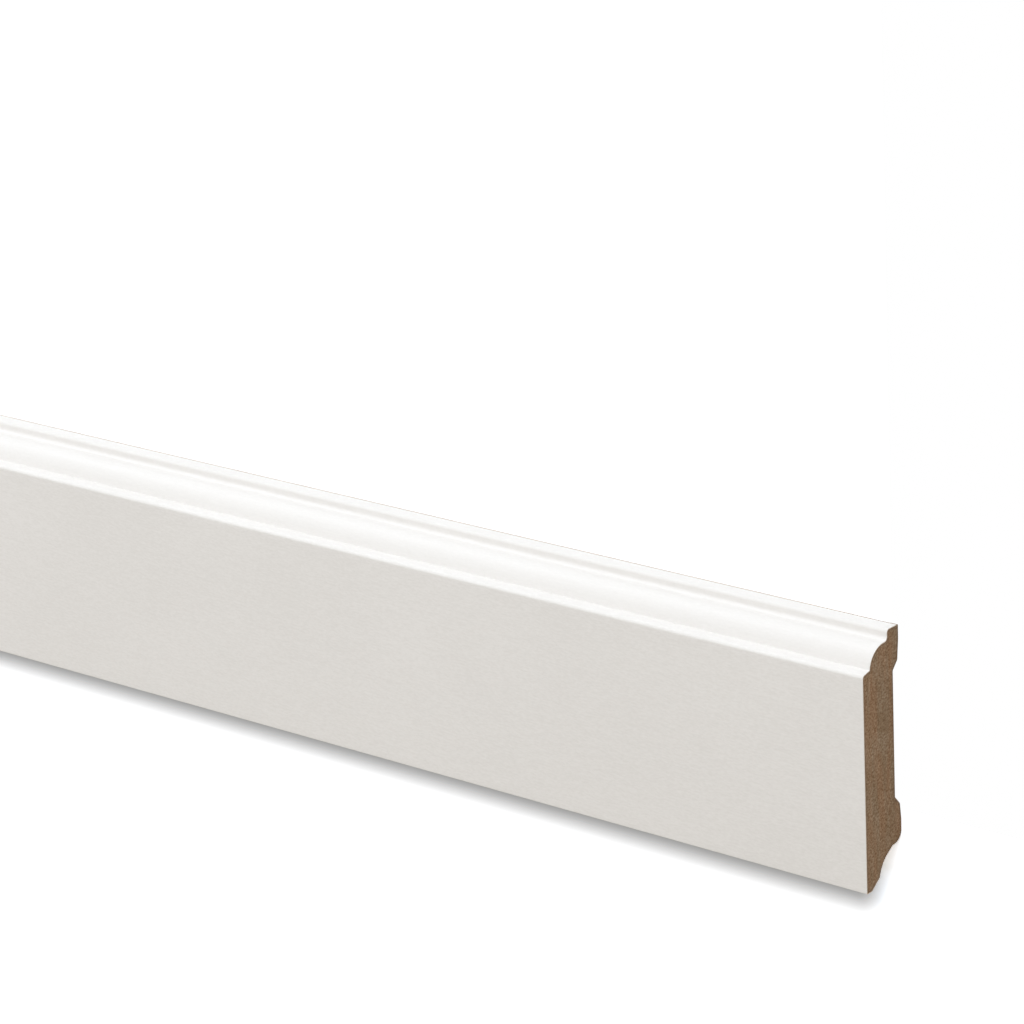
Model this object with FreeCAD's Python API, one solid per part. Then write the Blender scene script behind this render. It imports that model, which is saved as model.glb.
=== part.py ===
# A length of moulded skirting board: one strip of fibreboard, machined to a section and wrapped in a thin finish.
# It lies on its back, front face up, as it does before it is fitted.
# X runs along the board, +Y points to its moulded top edge, +Z to its front face. The origin is the middle of the base.
# Lengths are in millimetres.

import FreeCAD, Part
import math
import os

# Stock size
board_length = 2400.0
board_height = 80.0
board_thickness = 18.0

# Moulding along the top of the front face, from the front backwards
arris_round = 1.2       # rounded corner at the top of the flat face
lower_shelf_width = 3.4
lower_shelf_rise = 0.8  # the shelf climbs this much before it meets the ovolo
ovolo_radius = 7.3      # quarter round
upper_shelf_width = 1.65
shelf_cove = 1.3        # hollow where the upper shelf meets the bead
bead_height = 3.5       # top bead above the upper shelf
bead_round = 1.2

# Sharp edges that are only eased
foot_ease = 0.3
back_ease = 0.4

# Back of the board: two pads that touch the wall, with a recess between them
recess_depth = 3.0
recess_round = 0.8      # hollow corners of the recess
pad_round = 1.5         # rounded corners of the pads, beside the recess
pad_taper = 0.6         # each pad falls back this much before the slope
slope_height = 2.7      # height of the slope down into the recess
upper_pad_flat = 4.5
upper_pad_tapered = 6.5
lower_pad_flat = 3.0
lower_pad_tapered = 5.2

# Lower back edge, cut away so that only a narrow foot meets the floor, from the foot backwards
foot_width = 2.6
foot_round = 1.5
foot_slope_run = 4.05
foot_slope_rise = 3.15
cove_run = 3.65
cove_rise = 5.9
cove_hollow = 0.65      # how far the cove's curve lies inside its chord
shoulder_run = 3.1      # straight slope between the cove and the heel
shoulder_rise = 2.1
heel_round = 4.0

# Clearance kept between a rounded corner and the end of its side
SIDE_SHARE = 0.98


def upright(depth, height):
    """A point of the section: depth behind the front face, and height above the floor, on the board as fitted."""
    return FreeCAD.Vector(
        -board_length / 2, height - board_height / 2, board_thickness - depth
    )


class Corner:
    """A corner of the outline, rounded if it has a radius. Where bow is set, the side that leaves it is an arc:
    bow is how far the arc stands out to the left of its chord."""

    def __init__(self, depth, height, radius=0.0, bow=0.0):
        self.point = upright(depth, height)
        self.radius = radius
        self.bow = bow


def bowed_side(start, end, bow):
    """An arc from start to end that stands bow out to the left of its chord."""
    chord = end - start
    left = FreeCAD.Vector(0, -chord.z, chord.y).normalize()
    middle = (start + end) * 0.5 + left * bow
    return Part.Arc(start, middle, end).toShape()


def trimmed(corner, before, after, room_before, room_after):
    """The two ends and the middle of a corner's round, or None for a sharp corner."""
    if not corner.radius:
        return None
    towards_before = (before.point - corner.point).normalize()
    towards_after = (after.point - corner.point).normalize()
    half = towards_before.getAngle(towards_after) / 2
    reach = min(corner.radius / math.tan(half), room_before, room_after)
    radius = reach * math.tan(half)
    centre_way = (towards_before + towards_after).normalize()
    middle = corner.point + centre_way * (radius / math.sin(half) - radius)
    return corner.point + towards_before * reach, middle, corner.point + towards_after * reach


def side_room(first, second):
    """How much of the side between two corners each of them may use for its round."""
    length = (second.point - first.point).Length
    share = 0.5 if first.radius and second.radius else 1.0
    return length * share * SIDE_SHARE


def outline(corners):
    """A closed wire through the corners, with their rounds and bowed sides."""
    count = len(corners)
    rounds = []
    for i, corner in enumerate(corners):
        before = corners[i - 1]
        after = corners[(i + 1) % count]
        rounds.append(
            trimmed(corner, before, after, side_room(before, corner), side_room(corner, after))
        )
    edges = []
    for i, corner in enumerate(corners):
        following = (i + 1) % count
        start, end = corner.point, corners[following].point
        if rounds[i]:
            first, middle, start = rounds[i]
            edges.append(Part.Arc(first, middle, start).toShape())
        if rounds[following]:
            end = rounds[following][0]
        if corner.bow:
            edges.append(bowed_side(start, end, corner.bow))
        else:
            edges.append(Part.LineSegment(start, end).toShape())
    return Part.Wire(edges)


def ovolo(foot_depth, crown_height):
    """The ovolo's foot on the lower shelf, its crown, and the bow of the arc between them."""
    centre_depth = foot_depth + ovolo_radius
    centre_height = crown_height - ovolo_radius
    foot_rise = min(lower_shelf_rise, ovolo_radius / 2)
    foot = (
        centre_depth - math.sqrt(ovolo_radius**2 - foot_rise**2),
        centre_height + foot_rise,
    )
    crown = (centre_depth, crown_height)
    half_chord = math.dist(foot, crown) / 2
    bow = ovolo_radius - math.sqrt(ovolo_radius**2 - half_chord**2)
    return foot, crown, bow


def front_corners():
    """The flat face and the moulding above it, from the foot up to the back of the top edge."""
    crown_height = board_height - bead_height
    foot, crown, bow = ovolo(lower_shelf_width, crown_height)
    bead_front = crown[0] + upper_shelf_width
    shelf_front = foot[1] - lower_shelf_rise
    return [
        Corner(0, 0, foot_ease),
        Corner(0, shelf_front, arris_round),
        Corner(*foot, bow=bow),
        Corner(*crown),
        Corner(bead_front, crown_height, shelf_cove),
        Corner(bead_front, board_height, bead_round),
        Corner(board_thickness, board_height, back_ease),
    ]


def underside_points():
    """The nose between the foot's slope and the cove, the cove's upper end, and the front of the level heel."""
    nose = (foot_width + foot_slope_run, foot_slope_rise)
    cove_end = (nose[0] + cove_run, nose[1] + cove_rise)
    heel = (cove_end[0] + shoulder_run, cove_end[1] + shoulder_rise)
    return nose, cove_end, heel


def back_corners():
    """The upper pad, the recess and the lower pad, from the top down."""
    back = board_thickness
    tapered_back = back - pad_taper
    recess = back - recess_depth
    upper_flat_end = board_height - upper_pad_flat
    upper_taper_end = upper_flat_end - upper_pad_tapered
    heel_height = underside_points()[2][1]
    lower_flat_end = heel_height + heel_round + lower_pad_flat
    lower_taper_end = lower_flat_end + lower_pad_tapered
    return [
        Corner(back, upper_flat_end),
        Corner(tapered_back, upper_taper_end, pad_round),
        Corner(recess, upper_taper_end - slope_height, recess_round),
        Corner(recess, lower_taper_end + slope_height, recess_round),
        Corner(tapered_back, lower_taper_end, pad_round),
        Corner(back, lower_flat_end),
    ]


def underside_corners():
    """The heel of the lower pad, the cove and the foot, from the back to the front."""
    nose, cove_end, heel = underside_points()
    return [
        Corner(board_thickness, heel[1], heel_round),
        Corner(*heel),
        Corner(*cove_end, bow=-cove_hollow),
        Corner(*nose),
        Corner(foot_width, 0, foot_round),
    ]


def skirting_board():
    """The whole board: its section, run along its length."""
    section = Part.Face(outline(front_corners() + back_corners() + underside_corners()))
    return section.extrude(FreeCAD.Vector(board_length, 0, 0))


os.makedirs("parts", exist_ok=True)
board = skirting_board()
board.exportStep("parts/skirting_board.step")
print(
    "skirting_board: valid", board.isValid(),
    "volume", round(board.Volume / 1000, 1), "cm3",
    "section", round(board.Volume / board_length, 1), "mm2",
    "box", board.BoundBox,
)
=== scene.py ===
# A length of white moulded skirting board, lying face up on a pale studio floor.
# Blender units are metres. Section sizes are in millimetres, as a maker's drawing gives them.

import math

import bpy
import numpy as np
from mathutils import Matrix, Vector
from mathutils.geometry import delaunay_2d_cdt


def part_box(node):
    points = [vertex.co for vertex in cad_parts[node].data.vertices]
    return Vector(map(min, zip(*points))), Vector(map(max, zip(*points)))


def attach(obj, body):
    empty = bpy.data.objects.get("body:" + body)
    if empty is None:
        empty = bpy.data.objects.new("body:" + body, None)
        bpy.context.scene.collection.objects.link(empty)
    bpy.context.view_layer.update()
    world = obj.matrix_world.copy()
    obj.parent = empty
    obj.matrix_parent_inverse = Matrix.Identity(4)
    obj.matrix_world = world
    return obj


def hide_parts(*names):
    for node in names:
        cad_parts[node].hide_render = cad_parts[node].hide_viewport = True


print("skirting board: loading the frame")
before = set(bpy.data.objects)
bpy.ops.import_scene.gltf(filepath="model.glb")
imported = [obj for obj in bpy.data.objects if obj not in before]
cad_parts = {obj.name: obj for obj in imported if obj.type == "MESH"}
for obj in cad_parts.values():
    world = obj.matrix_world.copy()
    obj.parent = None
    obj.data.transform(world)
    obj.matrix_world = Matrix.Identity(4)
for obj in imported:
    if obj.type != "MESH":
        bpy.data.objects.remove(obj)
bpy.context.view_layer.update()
boardLow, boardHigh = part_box("skirting_board")
boardLength = boardHigh.x - boardLow.x
boardHeight = boardHigh.y - boardLow.y
boardThickness = boardHigh.z - boardLow.z
mm = 0.001
plainWhite = (1.0, 1.0, 1.0, 1.0)

# Section of the board. Depths go back from the front face, heights go up from the foot.
sectionSizes = {
    "arrisRound": 1.2,
    "lowerShelfWidth": 3.4,
    "lowerShelfRise": 0.8,
    "ovoloRadius": 7.3,
    "upperShelfWidth": 1.65,
    "shelfCove": 1.3,
    "beadHeight": 3.5,
    "beadRound": 1.2,
    "footEase": 0.3,
    "backEase": 0.4,
    "recessDepth": 3.0,
    "recessRound": 0.8,
    "padRound": 1.5,
    "padTaper": 0.6,
    "slopeHeight": 2.7,
    "upperPadFlat": 4.5,
    "upperPadTapered": 6.5,
    "lowerPadFlat": 3.0,
    "lowerPadTapered": 5.2,
    "footWidth": 2.6,
    "footRound": 1.5,
    "footSlopeRun": 4.05,
    "footSlopeRise": 3.15,
    "coveRun": 3.65,
    "coveRise": 5.9,
    "coveHollow": 0.65,
    "shoulderRun": 3.1,
    "shoulderRise": 2.1,
    "heelRound": 4.0,
    "foilThickness": 0.25,
    "foilSetback": 0.7,       # bare strip between the foil's upper edge and the back
    "arcStep": 7.0,           # degrees between the points of an arc
    "runStep": 1.5,           # longest straight stretch between two points
}


class Socket:
    # A node's output that adds Math nodes to its tree when it is used in an expression.
    def __init__(self, maker, link):
        self.maker = maker
        self.link = link

    def __add__(self, other):
        return self.maker.math("ADD", self, other)

    def __radd__(self, other):
        return self.maker.math("ADD", other, self)

    def __sub__(self, other):
        return self.maker.math("SUBTRACT", self, other)

    def __rsub__(self, other):
        return self.maker.math("SUBTRACT", other, self)

    def __mul__(self, other):
        return self.maker.math("MULTIPLY", self, other)

    def __rmul__(self, other):
        return self.maker.math("MULTIPLY", other, self)

    def __truediv__(self, other):
        return self.maker.math("DIVIDE", self, other)

    def __rtruediv__(self, other):
        return self.maker.math("DIVIDE", other, self)


class NodeMaker:
    # Adds nodes to one tree: settings first, then the values or links of the sockets.
    def __init__(self, tree):
        self.tree = tree

    def node(self, kind, settings=None, inputs=None, output=0):
        made = self.tree.nodes.new(kind)
        for name, value in (settings or {}).items():
            setattr(made, name, value)
        for key, value in (inputs or {}).items():
            if isinstance(value, (Socket, list)):
                for source in value if isinstance(value, list) else [value]:
                    self.tree.links.new(source.link, made.inputs[key])
            else:
                made.inputs[key].default_value = value
        return Socket(self, made.outputs[output]) if made.outputs else None

    def math(self, operation, first, second=0.0):
        return self.node("ShaderNodeMath", {"operation": operation}, {0: first, 1: second})

    def between(self, value, low, high):
        # 0 at low, 1 at high, smooth in between
        return self.node(
            "ShaderNodeMapRange",
            {"interpolation_type": "SMOOTHSTEP"},
            {"Value": value, "From Min": low, "From Max": high},
        )

    def mix(self, share, first, second, blend="MIX"):
        # Sockets 0, 6 and 7 are the factor and the two colours, output 2 is the mixed colour.
        settings = {"data_type": "RGBA", "blend_type": blend, "clamp_factor": True}
        return self.node("ShaderNodeMix", settings, {0: share, 6: first, 7: second}, output=2)

    def mixShader(self, share, first, second):
        return self.node("ShaderNodeMixShader", None, {0: share, 1: first, 2: second})

    def objectPlace(self):
        return self.node("ShaderNodeTexCoord", output="Object")

    def axis(self, place, number):
        # 0, 1 and 2 are X, Y and Z
        return self.node("ShaderNodeSeparateXYZ", None, {"Vector": place}, output=number)

    def marked(self, name):
        # The mesh's own attribute of this name, as a number
        return self.node("ShaderNodeAttribute", {"attribute_name": name}, output="Fac")

    def noise(self, place, scale, detail=2.0, roughness=0.5):
        inputs = {"Vector": place, "Scale": scale, "Detail": detail, "Roughness": roughness}
        return self.node("ShaderNodeTexNoise", None, inputs)


def newMaterial(name):
    made = bpy.data.materials.new(name)
    made.use_nodes = True
    made.node_tree.nodes.clear()
    return made, NodeMaker(made.node_tree)


def finishSurface(maker, shader):
    maker.node("ShaderNodeOutputMaterial", None, {"Surface": shader})


print("skirting board: section")


def corner(depth, height, radius=0.0, bow=0.0):
    return {"place": Vector((depth, height)), "radius": radius, "bow": bow}


def arcPoints(start, middle, end):
    # Points along the arc through three places, the last one left out.
    first, second = middle - start, end - start
    cross = 2 * first.cross(second)
    towards = Vector((
        second.y * first.length_squared - first.y * second.length_squared,
        first.x * second.length_squared - second.x * first.length_squared,
    ))
    centre = start + towards / cross
    spoke = start - centre
    turn = 2 * math.atan2(first.cross(end - middle), first.dot(end - middle))
    count = max(2, math.ceil(abs(math.degrees(turn)) / sectionSizes["arcStep"]))
    return [centre + Matrix.Rotation(turn * k / count, 2) @ spoke for k in range(count)]


def roundedOutline(corners):
    # The closed outline as one list of points for each corner. A list ends where the next begins.
    rounds = []
    for i, here in enumerate(corners):
        place, radius = here["place"], here["radius"]
        back = (corners[i - 1]["place"] - place).normalized()
        ahead = (corners[(i + 1) % len(corners)]["place"] - place).normalized()
        half = back.angle(ahead) / 2
        reach = radius / math.tan(half)
        middle = place + (back + ahead).normalized() * radius * (1 / math.sin(half) - 1)
        rounds.append((place + back * reach, middle, place + ahead * reach))
    outline = []
    for i, here in enumerate(corners):
        start, middle, end = rounds[i]
        stretch = arcPoints(start, middle, end) + [end] if here["radius"] else [here["place"]]
        if here["bow"]:
            last, nextStart = stretch[-1], rounds[(i + 1) % len(corners)][0]
            chord = nextStart - last
            side = Vector((chord.y, -chord.x)).normalized() * here["bow"]
            stretch = stretch[:-1] + arcPoints(last, (last + nextStart) / 2 + side, nextStart)
        outline.append(stretch)
    return outline


def boardCorners():
    # From the nose under the foot, round the front and the top, and down the back.
    s = sectionSizes
    height, back = boardHeight / mm, boardThickness / mm
    crownHeight = height - s["beadHeight"]
    centre = Vector((s["lowerShelfWidth"] + s["ovoloRadius"], crownHeight - s["ovoloRadius"]))
    footOut = math.sqrt(s["ovoloRadius"] ** 2 - s["lowerShelfRise"] ** 2)
    ovoloFoot = centre + Vector((-footOut, s["lowerShelfRise"]))
    crown = centre + Vector((0, s["ovoloRadius"]))
    halfChord = (crown - ovoloFoot).length / 2
    ovoloBow = s["ovoloRadius"] - math.sqrt(s["ovoloRadius"] ** 2 - halfChord ** 2)
    beadFront = crown.x + s["upperShelfWidth"]
    nose = (s["footWidth"] + s["footSlopeRun"], s["footSlopeRise"])
    coveEnd = (nose[0] + s["coveRun"], nose[1] + s["coveRise"])
    heel = (coveEnd[0] + s["shoulderRun"], coveEnd[1] + s["shoulderRise"])
    upperFlatEnd = height - s["upperPadFlat"]
    upperTaperEnd = upperFlatEnd - s["upperPadTapered"]
    lowerFlatEnd = heel[1] + s["heelRound"] + s["lowerPadFlat"]
    lowerTaperEnd = lowerFlatEnd + s["lowerPadTapered"]
    recess, tapered = back - s["recessDepth"], back - s["padTaper"]
    wrapped = [
        corner(*nose),
        corner(s["footWidth"], 0, s["footRound"]),
        corner(0, 0, s["footEase"]),
        corner(0, ovoloFoot.y - s["lowerShelfRise"], s["arrisRound"]),
        corner(*ovoloFoot, bow=-ovoloBow),
        corner(*crown),
        corner(beadFront, crownHeight, s["shelfCove"]),
        corner(beadFront, height, s["beadRound"]),
        corner(back - s["foilSetback"], height),
    ]
    bare = [
        corner(back, height, s["backEase"]),
        corner(back, upperFlatEnd),
        corner(tapered, upperTaperEnd, s["padRound"]),
        corner(recess, upperTaperEnd - s["slopeHeight"], s["recessRound"]),
        corner(recess, lowerTaperEnd + s["slopeHeight"], s["recessRound"]),
        corner(tapered, lowerTaperEnd, s["padRound"]),
        corner(back, lowerFlatEnd),
        corner(back, heel[1], s["heelRound"]),
        corner(*heel),
        corner(*coveEnd, bow=s["coveHollow"]),
    ]
    return wrapped, bare


def evenPath(path, step):
    # The same path with its long straight stretches divided.
    divided = [path[0]]
    for start, end in zip(path, path[1:]):
        count = max(1, math.ceil((end - start).length / step))
        divided += [start.lerp(end, k / count) for k in range(1, count + 1)]
    return divided


def insetPath(path, distance):
    # The path moved to its right-hand side, which is the inside of the board.
    moved = []
    for i, here in enumerate(path):
        sides = []
        for a, b in ((i - 1, i), (i, i + 1)):
            if 0 <= a and b < len(path):
                run = (path[b] - path[a]).normalized()
                sides.append(Vector((run.y, -run.x)))
        first, last = sides[0], sides[-1]
        moved.append(here + (first + last) * distance / (1 + first.dot(last)))
    return moved


wrappedCorners, bareCorners = boardCorners()
stretches = roundedOutline(wrappedCorners + bareCorners)
wrappedPath = [p for stretch in stretches[:len(wrappedCorners)] for p in stretch]
barePath = [p for stretch in stretches[len(wrappedCorners):] for p in stretch]
foilOuter = evenPath(wrappedPath, sectionSizes["runStep"])
foilInner = insetPath(foilOuter, sectionSizes["foilThickness"])
bareOuter = evenPath([foilOuter[-1]] + barePath + [foilOuter[0]], sectionSizes["runStep"])
print("  points on the foil and on the bare back:", len(foilOuter), len(bareOuter))


runSettings = {
    "segments": 5,            # equal lengths that the board's map is laid out in
    "grainStep": 0.42,        # mm between the points across a sawn end
    "grainJitter": 0.3,       # share of that step
    "rimWidth": 0.35,         # mm kept clear of points along the outline of a sawn end
    "rimReach": 1.1,          # mm from the outline over which a sawn end is darker
    "sawRelief": 0.09,        # mm, how deep the saw's tear goes into an end
    "sawGrain": 0.9,          # mm, size of the torn patches
    "tear": {"detail": 3.0, "roughness": 0.6},   # the noise that places them
    "tearRange": (0.25, 0.75),                   # of that noise, from untouched to fully torn
    "weld": 0.001,            # mm within which points are one
    "endFacing": 0.5,         # a face whose normal points this much along the board is an end
    "sharpAngle": 28.0,       # degrees, edges sharper than this stay crisp
    "seed": 7,
}


def acrossBoard(point):
    # A point of the section as the board's Y and Z, in metres.
    return Vector((boardLow.y + point.y * mm, boardHigh.z - point.x * mm))


def pointsInside(outline, step, clearance, rng):
    # An uneven triangular grid of points inside the outline, clear of its edge.
    ring = np.array([tuple(p) for p in outline])
    low, high = ring.min(axis=0), ring.max(axis=0)
    rows = np.arange(low[1], high[1], step * math.sqrt(3) / 2)
    columns = np.arange(low[0], high[0], step)
    grid = np.array([(x + (i % 2) * step / 2, y) for i, y in enumerate(rows) for x in columns])
    grid += rng.uniform(-0.5, 0.5, grid.shape) * step * runSettings["grainJitter"]
    inside = np.zeros(len(grid), dtype=bool)
    nearest = np.full(len(grid), np.inf)
    for (x0, y0), (dx, dy) in zip(ring, np.roll(ring, -1, axis=0) - ring):
        ahead = grid - (x0, y0)
        share = np.clip((ahead @ (dx, dy)) / (dx * dx + dy * dy), 0, 1)
        nearest = np.minimum(nearest, np.hypot(*(ahead - share[:, None] * (dx, dy)).T))
        if dy:
            crossing = (grid[:, 1] < y0) != (grid[:, 1] < y0 + dy)
            inside ^= crossing & (ahead[:, 0] < dx * ahead[:, 1] / dy)
    kept = inside & (nearest > clearance)
    return [Vector(p) for p in grid[kept]], nearest[kept]


def sectionMesh(name, points, faces, depths):
    # A flat face across the board at its near end, with how far inside the outline its points lie.
    mesh = bpy.data.meshes.new(name)
    mesh.from_pydata([(boardLow.x, *acrossBoard(p)) for p in points], [], faces)
    inner = mesh.attributes.new("inner", "FLOAT", "POINT")
    inner.data.foreach_set("value", [float(depth > 0) for depth in depths])
    rim = mesh.attributes.new("rim", "FLOAT", "POINT")
    reach = runSettings["rimReach"]
    rim.data.foreach_set("value", [max(0, 1 - depth / reach) for depth in depths])
    return mesh


def foilSection():
    outline = foilOuter + foilInner[::-1]
    count = len(foilOuter)
    faces = [(2 * count - 1 - i, 2 * count - 2 - i, i + 1, i) for i in range(count - 1)]
    return outline, sectionMesh("foilSection", outline, faces, [0] * len(outline))


def coreSection(rng):
    outline = foilInner + bareOuter
    step, clearance = runSettings["grainStep"], runSettings["rimWidth"]
    filling, depths = pointsInside(outline, step, clearance, rng)
    points = outline + filling
    ring = [(i, (i + 1) % len(outline)) for i in range(len(outline))]
    flat = [acrossBoard(p) / mm for p in points]
    insideOnly, closest = 1, 1e-5
    kept, _, faces = delaunay_2d_cdt(flat, ring, [], insideOnly, closest)[:3]
    if len(kept) != len(points):
        raise ValueError("the sawn end's points moved")
    return outline, sectionMesh("coreSection", points, faces, [0] * len(outline) + list(depths))


def runTree():
    # Geometry nodes: a flat section is drawn out along the board in equal segments and closed at
    # both ends, and the ends' inner points sink in where the saw tore them.
    tree = bpy.data.node_groups.new("runAlongLength", "GeometryNodeTree")
    sockets = {
        "Section": "NodeSocketGeometry",
        "Length": "NodeSocketFloat",
        "Segments": "NodeSocketInt",
        "Saw Relief": "NodeSocketFloat",
        "Saw Grain": "NodeSocketFloat",
        "Finish": "NodeSocketMaterial",
    }
    for name, kind in sockets.items():
        tree.interface.new_socket(name, in_out="INPUT", socket_type=kind)
    tree.interface.new_socket("Board", in_out="OUTPUT", socket_type="NodeSocketGeometry")
    maker = NodeMaker(tree)
    groupInput = tree.nodes.new("NodeGroupInput")
    given = {name: Socket(maker, groupInput.outputs[name]) for name in sockets}

    facing = maker.axis(maker.node("GeometryNodeInputNormal"), 0)
    farEnd = maker.math("GREATER_THAN", facing, runSettings["endFacing"])
    step = maker.node("ShaderNodeCombineXYZ", None, {"X": given["Length"] / given["Segments"]})
    repeatStart = tree.nodes.new("GeometryNodeRepeatInput")
    repeatEnd = tree.nodes.new("GeometryNodeRepeatOutput")
    repeatStart.pair_with_output(repeatEnd)
    tree.links.new(given["Segments"].link, repeatStart.inputs["Iterations"])
    tree.links.new(given["Section"].link, repeatStart.inputs["Geometry"])
    drawn = maker.node("GeometryNodeExtrudeMesh", {"mode": "FACES"}, {
        "Mesh": Socket(maker, repeatStart.outputs["Geometry"]),
        "Selection": farEnd,
        "Offset": step,
        "Offset Scale": 1.0,
        "Individual": False,
    })
    tree.links.new(drawn.link, repeatEnd.inputs["Geometry"])

    nearEnd = maker.node("GeometryNodeFlipFaces", None, {"Mesh": given["Section"]})
    walls = Socket(maker, repeatEnd.outputs["Geometry"])
    joined = maker.node("GeometryNodeJoinGeometry", None, {"Geometry": [walls, nearEnd]})
    weld = {"Geometry": joined, "Distance": mm * runSettings["weld"]}
    closed = maker.node("GeometryNodeMergeByDistance", None, weld)

    place = maker.node("GeometryNodeInputPosition")
    side = maker.math("SIGN", maker.axis(place, 0))
    inner = maker.node("GeometryNodeInputNamedAttribute", {"data_type": "FLOAT"}, {"Name": "inner"})
    tear = maker.noise(place, 1 / given["Saw Grain"], **runSettings["tear"])
    torn = maker.between(tear, *runSettings["tearRange"])
    depth = side * inner * given["Saw Relief"] * torn
    inwards = maker.node("ShaderNodeCombineXYZ", None, {"X": depth * -1.0})
    sunk = maker.node("GeometryNodeSetPosition", None, {"Geometry": closed, "Offset": inwards})
    real = maker.node("GeometryNodeRealizeInstances", None, {"Geometry": sunk})
    finish = {"Geometry": real, "Material": given["Finish"]}
    finished = maker.node("GeometryNodeSetMaterial", None, finish)
    maker.node("NodeGroupOutput", None, {"Board": finished})
    return tree


def isEnd(face):
    return abs(face.normal.x) > runSettings["endFacing"]


def runAlong(name, section, tree, finish):
    # One piece of the board as a plain mesh.
    piece = bpy.data.objects.new(name, section)
    bpy.context.scene.collection.objects.link(piece)
    modifier = piece.modifiers.new("run", "NODES")
    modifier.node_group = tree
    values = {
        "Length": boardLength,
        "Segments": runSettings["segments"],
        "Saw Relief": runSettings["sawRelief"] * mm,
        "Saw Grain": runSettings["sawGrain"] * mm,
        "Finish": finish,
    }
    for item in tree.interface.items_tree:
        if item.in_out == "INPUT" and item.name in values:
            modifier[item.identifier] = values[item.name]
    graph = bpy.context.evaluated_depsgraph_get()
    mesh = bpy.data.meshes.new_from_object(piece.evaluated_get(graph))
    piece.modifiers.clear()
    piece.data = mesh
    bpy.data.meshes.remove(section)
    mesh.name = name
    mesh.shade_smooth()
    mesh.set_sharp_from_angle(angle=math.radians(runSettings["sharpAngle"]))
    mesh.attributes.remove(mesh.attributes["inner"])
    ends = mesh.attributes.new("sawnEnd", "FLOAT", "FACE")   # 1 on the two ends, 0 elsewhere
    ends.data.foreach_set("value", [float(isEnd(face)) for face in mesh.polygons])
    return piece


mapSettings = {
    "gap": 4.0,               # mm between the strips
    "endShare": 0.13,         # share of the map's width for each sawn end
    "hiddenShare": 0.12,      # how much of its real width a glued face gets
    "thinWidth": 3.0,         # mm, the width that a thin cut edge gets
    "digits": 6,              # decimals of a metre by which a point is found again
}


def placeKey(across, up):
    return round(across, mapSettings["digits"]), round(up, mapSettings["digits"])


def layOutMap(mesh, outline, shownCount, shownFirst):
    # Rolls the board out flat: one strip for each segment, one above the other, and the two ends
    # beside them. The outline's shown points come first in the count from shownFirst.
    s = mapSettings
    count, strips = len(outline), runSettings["segments"]
    girth = [0.0]
    for i in range(count):
        width = (outline[(i + 1) % count] - outline[i]).length
        position = (i - shownFirst) % count
        if position in (shownCount - 1, count - 1):
            width = s["thinWidth"]
        elif position >= shownCount:
            width *= s["hiddenShare"]
        girth.append(girth[-1] + width)
    numberAt = {placeKey(*acrossBoard(point)): i for i, point in enumerate(outline)}
    gap = s["gap"] * mm / (boardLength / strips)
    stripWidth, stripHeight = 1 - 2 * s["endShare"] - gap, 1 / strips
    layer = mesh.uv_layers.new(name="OFBake")
    for face in mesh.polygons:
        corners = [(c, mesh.vertices[mesh.loops[c].vertex_index].co) for c in face.loop_indices]
        if isEnd(face):
            column = 1 - s["endShare"] * (1 if face.normal.x > 0 else 2) + gap / 2
            for c, co in corners:
                across = (co.z - boardLow.z) / boardThickness
                up = (co.y - boardLow.y) / boardHeight
                layer.data[c].uv = (
                    column + across * (s["endShare"] - gap),
                    gap / 2 + up * (1 - gap),
                )
            continue
        strip = min(strips - 1, int((face.center.x - boardLow.x) / boardLength * strips))
        numbers = [numberAt[placeKey(co.y, co.z)] for c, co in corners]
        closing = max(numbers) - min(numbers) > 1
        for (c, co), number in zip(corners, numbers):
            along = (co.x - boardLow.x) / boardLength * strips - strip
            around = girth[count if closing and number == 0 else number] / girth[-1]
            layer.data[c].uv = (
                gap / 2 + along * (stripWidth - gap),
                (strip + around * (1 - gap * strips) + gap * strips / 2) * stripHeight,
            )


print("skirting board: finishes")


def pattern(maker, place, size, turn=(0.0, 0.0, 0.0), detail=2.0, roughness=0.5):
    # Noise whose patches are this many millimetres large along each axis, once it is turned.
    turned = maker.node("ShaderNodeMapping", None, {"Vector": place, "Rotation": turn})
    scale = tuple(1 / (mm * part) for part in size)
    sized = maker.node("ShaderNodeMapping", None, {"Vector": turned, "Scale": scale})
    return maker.noise(sized, 1.0, detail, roughness)


def blended(shares, patterns):
    # The patterns added up, each by its share
    total = shares[0] * patterns[0]
    for share, part in zip(shares[1:], patterns[1:]):
        total = total + share * part
    return total


def finishBoard(maker, colour, roughness, height, distance):
    # The shader that both finishes end in
    relief = {"Height": height, "Distance": distance, "Strength": 1.0}
    bump = maker.node("ShaderNodeBump", None, relief)
    finishSurface(maker, maker.node("ShaderNodeBsdfPrincipled", None, {
        "Base Color": colour,
        "Roughness": roughness,
        "Normal": bump,
    }))


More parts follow.
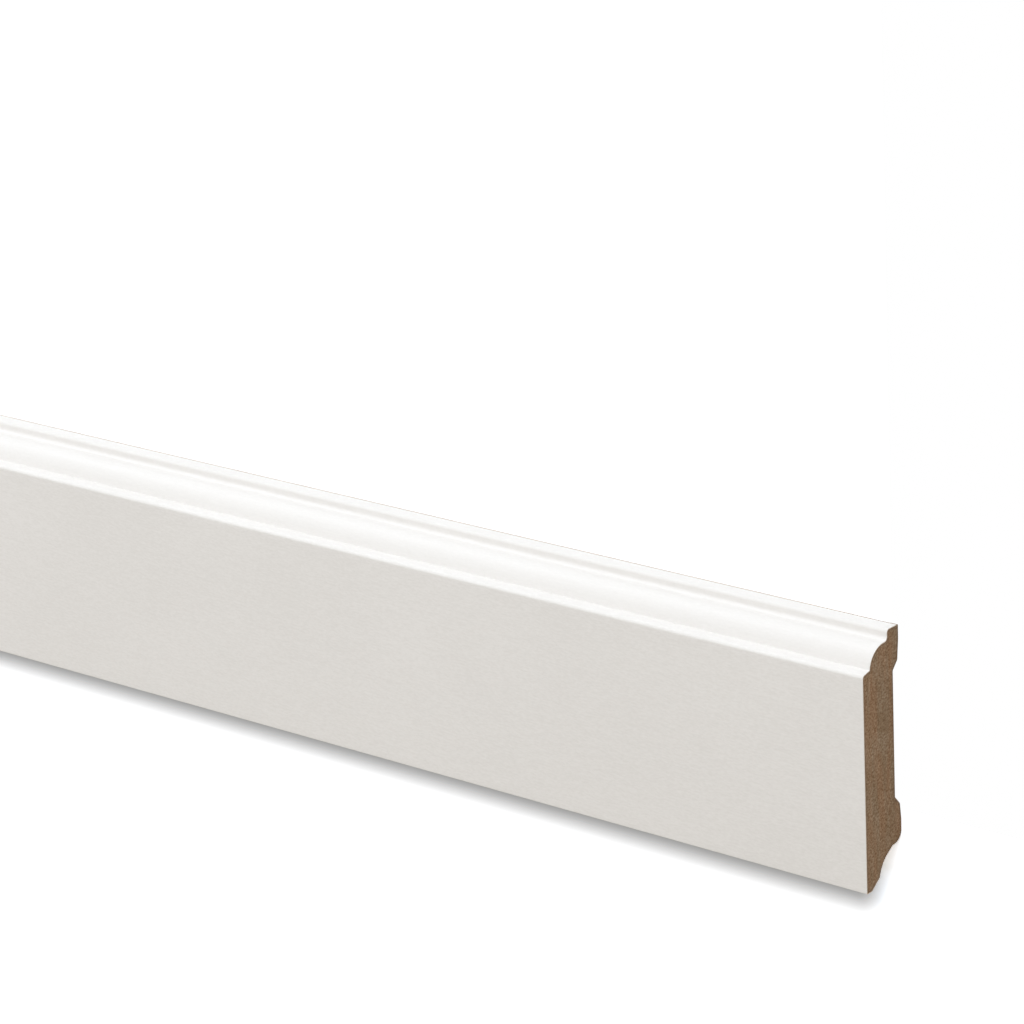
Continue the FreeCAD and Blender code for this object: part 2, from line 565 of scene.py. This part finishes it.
# Lengths in both finishes are in millimetres, colours are linear. A pattern's size is given along
# the board, up it and through it, its turn in radians. Shares say how much each pattern counts,
# and a range is the part of a pattern over which one tone becomes the next.
foilSettings = {
    "colour": (0.900, 0.879, 0.848, 1.0),
    "shade": (0.832, 0.810, 0.776, 1.0),
    "speckColour": (0.60, 0.57, 0.52, 1.0),
    "cutColour": (0.56, 0.45, 0.34, 1.0),
    "grain": {"size": (1.5, 0.55, 0.55), "roughness": 0.55},
    "strokes": {"size": (6.0, 0.8, 0.8), "turn": (0.0, 0.0, 0.05), "detail": 3.0},
    "cloudSize": 45.0,
    "toneShares": (0.55, 0.25, 0.20),     # grain, strokes, clouds
    "toneRange": (0.30, 0.70),
    "speckSpacing": 21.0,
    "speckSize": 0.22,
    "speckCore": 0.5,                     # share of that size which has the speck's full colour
    "roughness": (0.40, 0.52),
    "roughShares": (0.5, 0.5),            # grain, clouds
    "reliefShares": (0.7, 0.3),           # grain, strokes
    "grainHeight": 0.012,
    "mouldedFrom": (10.9, 9.9),           # below the top edge, where the grain becomes fainter
    "mouldedEvenness": 0.5,               # how much of it the pull over the moulding takes away
}


def whiteFoil():
    s = foilSettings
    made, maker = newMaterial("whiteFoil")
    place = maker.objectPlace()
    grain = pattern(maker, place, **s["grain"])
    strokes = pattern(maker, place, **s["strokes"])
    clouds = maker.noise(place, 1 / (mm * s["cloudSize"]))
    speckScale = 1 / (mm * s["speckSpacing"])
    speck = maker.node(
        "ShaderNodeTexVoronoi", {"feature": "F1"}, {"Vector": place, "Scale": speckScale}
    )
    speckReach = s["speckSize"] / s["speckSpacing"]
    speckShare = 1 - maker.between(speck, speckReach * s["speckCore"], speckReach)

    height = maker.axis(place, 1)
    moulded = maker.between(height, *(boardHigh.y - mm * part for part in s["mouldedFrom"]))
    evenness = s["mouldedEvenness"] * moulded
    tone = maker.between(blended(s["toneShares"], (grain, strokes, clouds)), *s["toneRange"])
    colour = maker.mix(tone + (0.5 - tone) * evenness, s["shade"], s["colour"])
    colour = maker.mix(speckShare, colour, s["speckColour"])
    colour = maker.mix(maker.marked("sawnEnd"), colour, s["cutColour"])

    low, high = s["roughness"]
    rough = maker.between(blended(s["roughShares"], (grain, clouds)), *s["toneRange"])
    roughness = low + (high - low) * rough
    relief = blended(s["reliefShares"], (grain, strokes)) * (1 - evenness)
    finishBoard(maker, colour, roughness, relief, mm * s["grainHeight"])
    return made


# The light and dark tones of grain and streaks are factors on the sawn end's own colour. Fibres
# give a strength, then their range.
boardSettings = {
    "endRed": (0.275, 0.160, 0.083, 1.0),
    "endOlive": (0.254, 0.168, 0.096, 1.0),
    "grainLight": (1.29, 1.37, 1.52, 1.0),
    "grainDark": (0.71, 0.63, 0.48, 1.0),
    "streakLight": (1.10, 1.14, 1.21, 1.0),
    "streakDark": (0.90, 0.86, 0.79, 1.0),
    "sideColour": (0.370, 0.262, 0.172, 1.0),
    "sideDark": (0.290, 0.196, 0.122, 1.0),
    "fibreLight": (0.50, 0.37, 0.25, 1.0),
    "fibreDark": (0.13, 0.085, 0.052, 1.0),
    "rimColour": (0.155, 0.105, 0.066, 1.0),
    "grain": {"size": (0.7, 0.6, 0.8), "detail": 3.0, "roughness": 0.6},
    "fibre": {"size": (0.5, 0.8, 0.6), "turn": (0.15, 0.0, 0.0)},
    "streak": {"size": (3.0, 8.0, 2.0)},
    "band": {"size": (20.0, 30.0, 3.2)},
    "sideFibre": {"size": (2.6, 0.35, 0.35), "turn": (0.0, 0.0, 0.2), "detail": 3.0},
    "patchSize": 14.0,
    "cutterPitch": 1.6,
    "toneRange": (0.35, 0.65),
    "streakShares": (0.6, 0.4),           # streaks, patches
    "grainShares": (0.6, 0.4),            # grain, fibres
    "grainRange": (0.36, 0.64),
    "endLightFibres": (0.60, 0.62, 0.76),
    "endDarkFibres": (0.50, 0.62, 0.78),
    "rimStrength": 0.6,
    "sideShares": (0.5, 0.5),             # fibres along the board, patches
    "sideLightFibres": (0.35, 0.60, 0.76),
    "sideDarkFibres": (0.40, 0.60, 0.76),
    "roughness": (0.80, 0.95),
    "endHeight": 0.10,
    "sideHeight": 0.03,
    "sideReliefShares": (0.5, 0.3, 0.2),  # fibres along the board, grain, cutter marks
}


def bareFibreboard():
    s = boardSettings
    made, maker = newMaterial("bareFibreboard")
    place = maker.objectPlace()
    atEnd, rim = maker.marked("sawnEnd"), maker.marked("rim")
    names = ("grain", "fibre", "streak", "band", "sideFibre")
    grain, fibre, streak, band, sideFibre = (pattern(maker, place, **s[name]) for name in names)
    patch = maker.noise(place, 1 / (mm * s["patchSize"]))
    wave = maker.math("SINE", maker.axis(place, 0) * (2 * math.pi / (mm * s["cutterPitch"])))

    def fibres(colour, source, settings, fibreColour):
        strength, low, high = settings
        return maker.mix(strength * maker.between(source, low, high), colour, fibreColour)

    end = maker.mix(maker.between(band, *s["toneRange"]), s["endOlive"], s["endRed"])
    share = maker.between(blended(s["streakShares"], (streak, patch)), *s["toneRange"])
    end = maker.mix(1.0, end, maker.mix(share, s["streakDark"], s["streakLight"]), "MULTIPLY")
    endGrain = blended(s["grainShares"], (grain, fibre))
    share = maker.between(endGrain, *s["grainRange"])
    end = maker.mix(1.0, end, maker.mix(share, s["grainDark"], s["grainLight"]), "MULTIPLY")
    end = fibres(end, fibre, s["endLightFibres"], s["fibreLight"])
    end = fibres(end, 1 - fibre, s["endDarkFibres"], s["fibreDark"])
    end = maker.mix(s["rimStrength"] * rim, end, s["rimColour"])

    share = maker.between(blended(s["sideShares"], (sideFibre, patch)), *s["toneRange"])
    side = maker.mix(share, s["sideDark"], s["sideColour"])
    side = fibres(side, sideFibre, s["sideLightFibres"], s["fibreLight"])
    side = fibres(side, 1 - grain, s["sideDarkFibres"], s["fibreDark"])
    colour = maker.mix(atEnd, side, end)

    low, high = s["roughness"]
    roughness = low + (high - low) * grain
    endHeight = endGrain * s["endHeight"]
    sideHeight = blended(s["sideReliefShares"], (sideFibre, grain, wave)) * s["sideHeight"]
    height = sideHeight + (endHeight - sideHeight) * atEnd
    finishBoard(maker, colour, roughness, height, mm)
    return made


print("skirting board: pieces")
rng = np.random.default_rng(runSettings["seed"])
alongLength = runTree()
foilRing, foilFace = foilSection()
foilWrap = runAlong("foilWrap", foilFace, alongLength, whiteFoil())
layOutMap(foilWrap.data, foilRing, len(foilOuter), 0)
coreRing, coreFace = coreSection(rng)
fibreboardCore = runAlong("fibreboardCore", coreFace, alongLength, bareFibreboard())
layOutMap(fibreboardCore.data, coreRing, len(bareOuter), len(foilInner))
for piece, slot in ((foilWrap, "white_foil"), (fibreboardCore, "fibreboard")):
    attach(piece, "root")
    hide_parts("skirting_board")
    print("  ", piece.name, len(piece.data.polygons), "faces")


print("skirting board: floor, lamps and camera")

# Lengths are in metres. The soft shade along the foot is painted shade in the floor's own colour,
# and runs along the board a little way off its foot. Places past an end count outwards from the
# sawn face, so those under the board are negative.
floorSettings = {
    "reach": 8.0,             # each way
    "drop": 0.00002,          # below the pads, so that the two don't share a plane
    "bounce": (0.8, 0.8, 0.8, 1.0),
    "mirrored": (1.50, 1.55, 1.59, 1.0),
    "seen": (2.60, 2.68, 2.79, 1.0),
    "seenPastEnd": (2.58, 2.78, 3.06, 1.0),   # cooler, as only the warm sky lights the floor there
    "pastEndFrom": (-0.014, -0.004),          # past an end, where that colour takes over
    "shade": 0.166,           # share of the floor's tone left in the middle of the soft shade
    "shadePast": 0.0061,      # from the foot to that middle
    "shadeShort": 0.0171,     # from an end to the end of that middle
    "shadeReach": 0.0199,     # over which the shade fades out
    "shadeNear": 0.0075,      # in from that middle, where it stops fading towards the board
    "shadeHeld": 0.020,       # from there in under the board, over which it stays as it is
    "shadeOpens": (-0.040, -0.020),           # past an end, between which it is held no longer
    "whiteFrom": (0.10, 0.40),                # off that middle, where the floor turns plain white
    "endWhiteAlong": (-0.0032, -0.0024),      # past an end, likewise
    "endWhiteUp": (0.014, 0.022),             # up from the foot, likewise
}


def raysOf(maker, *kinds):
    # 1 for rays of these kinds, 0 for the others
    rays = 0.0
    for kind in kinds:
        ofKind = maker.node("ShaderNodeLightPath", output=f"Is {kind} Ray")
        rays = maker.math("MAXIMUM", rays, ofKind)
    return rays


def floorColour(maker, away, pastEnd):
    # The floor's colour and its painted shade, by the distance from the middle of that shade
    s = floorSettings
    atEnd = maker.between(pastEnd, *s["pastEndFrom"])
    paintedShade, paintedShadePastEnd = (
        tuple(s["shade"] * part for part in s[name]) for name in ("seen", "seenPastEnd")
    )
    return maker.mix(
        maker.between(away, 0.0, s["shadeReach"]),
        maker.mix(atEnd, paintedShade, paintedShadePastEnd),
        maker.mix(atEnd, s["seen"], s["seenPastEnd"]),
    )


def studioFloor():
    s = floorSettings
    made, maker = newMaterial("studioFloor")
    place = maker.objectPlace()
    along, across = maker.math("ABSOLUTE", maker.axis(place, 0)), maker.axis(place, 1)
    # Distance from the middle line of the painted shade along the foot, which stops short of the
    # ends
    pastEnd = along - boardLength / 2
    inwards = across - (boardLow.y - s["shadePast"])
    held = s["shadeHeld"] * (1 - maker.between(pastEnd, *s["shadeOpens"]))
    pastNear = maker.math("MAXIMUM", inwards - s["shadeNear"], 0.0)
    aside = maker.node("ShaderNodeCombineXYZ", None, {
        "X": maker.math("MAXIMUM", along - (boardLength / 2 - s["shadeShort"]), 0.0),
        "Y": inwards - maker.math("MINIMUM", pastNear, held),
    })
    away = maker.node(
        "ShaderNodeVectorMath", {"operation": "LENGTH"}, {0: aside}, output="Value"
    )
    # Beside the sawn ends the floor is painted plain white, over the shade that the gap under the
    # recess casts there
    paintedWhiteBesideEnd = maker.between(pastEnd, *s["endWhiteAlong"])
    paintedWhiteBesideEnd = paintedWhiteBesideEnd * maker.between(across - boardLow.y, *s["endWhiteUp"])
    whiteness = maker.math("MAXIMUM", maker.between(away, *s["whiteFrom"]), paintedWhiteBesideEnd)

    bounce, mirrored, near = (
        maker.node("ShaderNodeBsdfDiffuse", None, {"Color": colour})
        for colour in (s["bounce"], s["mirrored"], floorColour(maker, away, pastEnd))
    )
    white = maker.node("ShaderNodeEmission", None, {"Color": plainWhite, "Strength": 1.0})
    seen = maker.mixShader(whiteness, near, white)
    unseen = maker.mixShader(raysOf(maker, "Glossy", "Transmission"), bounce, mirrored)
    finishSurface(maker, maker.mixShader(raysOf(maker, "Camera"), unseen, seen))

    reach = s["reach"]
    corners = [(x * reach, y * reach, -s["drop"]) for x, y in ((-1, -1), (1, -1), (1, 1), (-1, 1))]
    mesh = bpy.data.meshes.new("studioFloor")
    mesh.from_pydata(corners, [], [(0, 1, 2, 3)])
    mesh.materials.append(made)
    floor = bpy.data.objects.new("studioFloor", mesh)
    bpy.context.scene.collection.objects.link(floor)


# Long strip lamps over and beside the board, square to its length and aimed at its middle line.
# Places and sizes are in metres.
lampSettings = {
    "lowStrip": {"place": (1.0, 1.6, 0.12), "size": (6.4, 0.24), "power": 26.3},
    "highStrip": {"place": (0.7, 0.5, 0.55), "size": (4.8, 0.4), "power": 5.4},
    "overhead": {"place": (0.0, 0.1, 0.75), "size": (3.4, 0.4), "power": 4.45},
}
lampColour = (0.83, 0.90, 1.0)
skySettings = {"fill": 0.43, "colour": (1.0, 0.905, 0.771, 1.0)}


def stripLamp(name, settings):
    light = bpy.data.lights.new(name, "AREA")
    light.shape = "RECTANGLE"
    light.size, light.size_y = settings["size"]
    light.energy = settings["power"]
    light.color = lampColour
    lamp = bpy.data.objects.new(name, light)
    lamp.location = settings["place"]
    aim = Vector((settings["place"][0], 0, 0)) - lamp.location
    lamp.rotation_euler = aim.to_track_quat("-Z", "Y").to_euler()
    bpy.context.scene.collection.objects.link(lamp)


def studioSky():
    world = bpy.data.worlds.new("studioSky")
    world.use_nodes = True
    world.node_tree.nodes.clear()
    maker = NodeMaker(world.node_tree)
    fill, white = (
        maker.node("ShaderNodeBackground", None, {"Color": colour, "Strength": strength})
        for colour, strength in ((skySettings["colour"], skySettings["fill"]), (plainWhite, 1.0))
    )
    both = maker.mixShader(raysOf(maker, "Camera", "Glossy", "Transmission"), fill, white)
    maker.node("ShaderNodeOutputWorld", None, {"Surface": both})
    bpy.context.scene.world = world


# The camera stands beyond the board's near end and looks down along it, turned so that the
# moulding is uppermost.
cameraSettings = {
    "place": (1.918118, 0.499492, 1.000182),
    "right": (0.765248, -0.044560, -0.642191),
    "up": (-0.175848, 0.945189, -0.275128),
    "lens": 156.8,            # mm, for a frame 36 mm wide
    "frameWidth": 36.0,
    "clip": (0.05, 200.0),    # m
}


def studioCamera():
    data = bpy.data.cameras.new("studioCamera")
    data.sensor_width = cameraSettings["frameWidth"]
    data.lens = cameraSettings["lens"]
    data.clip_start, data.clip_end = cameraSettings["clip"]
    camera = bpy.data.objects.new("studioCamera", data)
    right, up = Vector(cameraSettings["right"]), Vector(cameraSettings["up"])
    turn = Matrix((right, up, right.cross(up))).transposed()
    camera.matrix_world = Matrix.Translation(cameraSettings["place"]) @ turn.to_4x4()
    bpy.context.scene.collection.objects.link(camera)
    bpy.context.scene.camera = camera


studioFloor()
studioSky()
for name, settings in lampSettings.items():
    stripLamp(name, settings)
studioCamera()
bpy.context.scene.view_settings.view_transform = "Standard"
